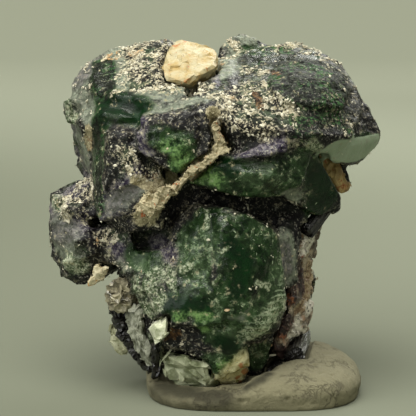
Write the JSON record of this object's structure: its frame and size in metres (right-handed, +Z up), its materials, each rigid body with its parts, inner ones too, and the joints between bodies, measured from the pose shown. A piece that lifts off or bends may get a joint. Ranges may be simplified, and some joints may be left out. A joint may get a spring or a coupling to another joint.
{
  "type": "phantom fluorite with schorl",
  "caption": "Mineral specimen of green and violet phantom fluorite with schorl, feldspar and mica, standing upright in a pressed lump of mineral putty.",
  "frame": {"origin": "on the putty's flat underside, below the middle of the specimen", "axes": "+Z up out of the putty, +Y away from the viewer, +X to the viewer's right"},
  "size_m": [0.0457, 0.0369, 0.048],
  "materials": {
    "fluorite": "glassy green crystal under a speckled violet-black skin",
    "feldspar_cream": "dull, pearly on cleavages, stained with rust",
    "feldspar_grey": "dull, pearly on cleavages",
    "rusty_matrix": "rough broken rock",
    "mica": "pearly layered leaves",
    "schorl": "glossy black, grooved lengthwise",
    "putty": "matt kneaded putty"
  },
  "bodies": {
    "root": {"fluorite": "fluorite", "feldspar_crystal": "feldspar_cream", "feldspar_slab": "feldspar_cream", "feldspar_low_left": "feldspar_cream", "feldspar_cleavages": "feldspar_cream", "feldspar_foot": "feldspar_grey", "feldspar_seam": "feldspar_grey", "albite_blades": "feldspar_grey", "albite_fin": "feldspar_grey", "rock_matrix": "rusty_matrix", "mica_book": "mica", "schorl_lower_left": "schorl", "schorl_splinter": "schorl", "schorl_right_foot": "schorl", "schorl_front_foot": "schorl", "schorl_right_neck": "schorl", "putty_base": "putty"}
  },
  "joints": []
}
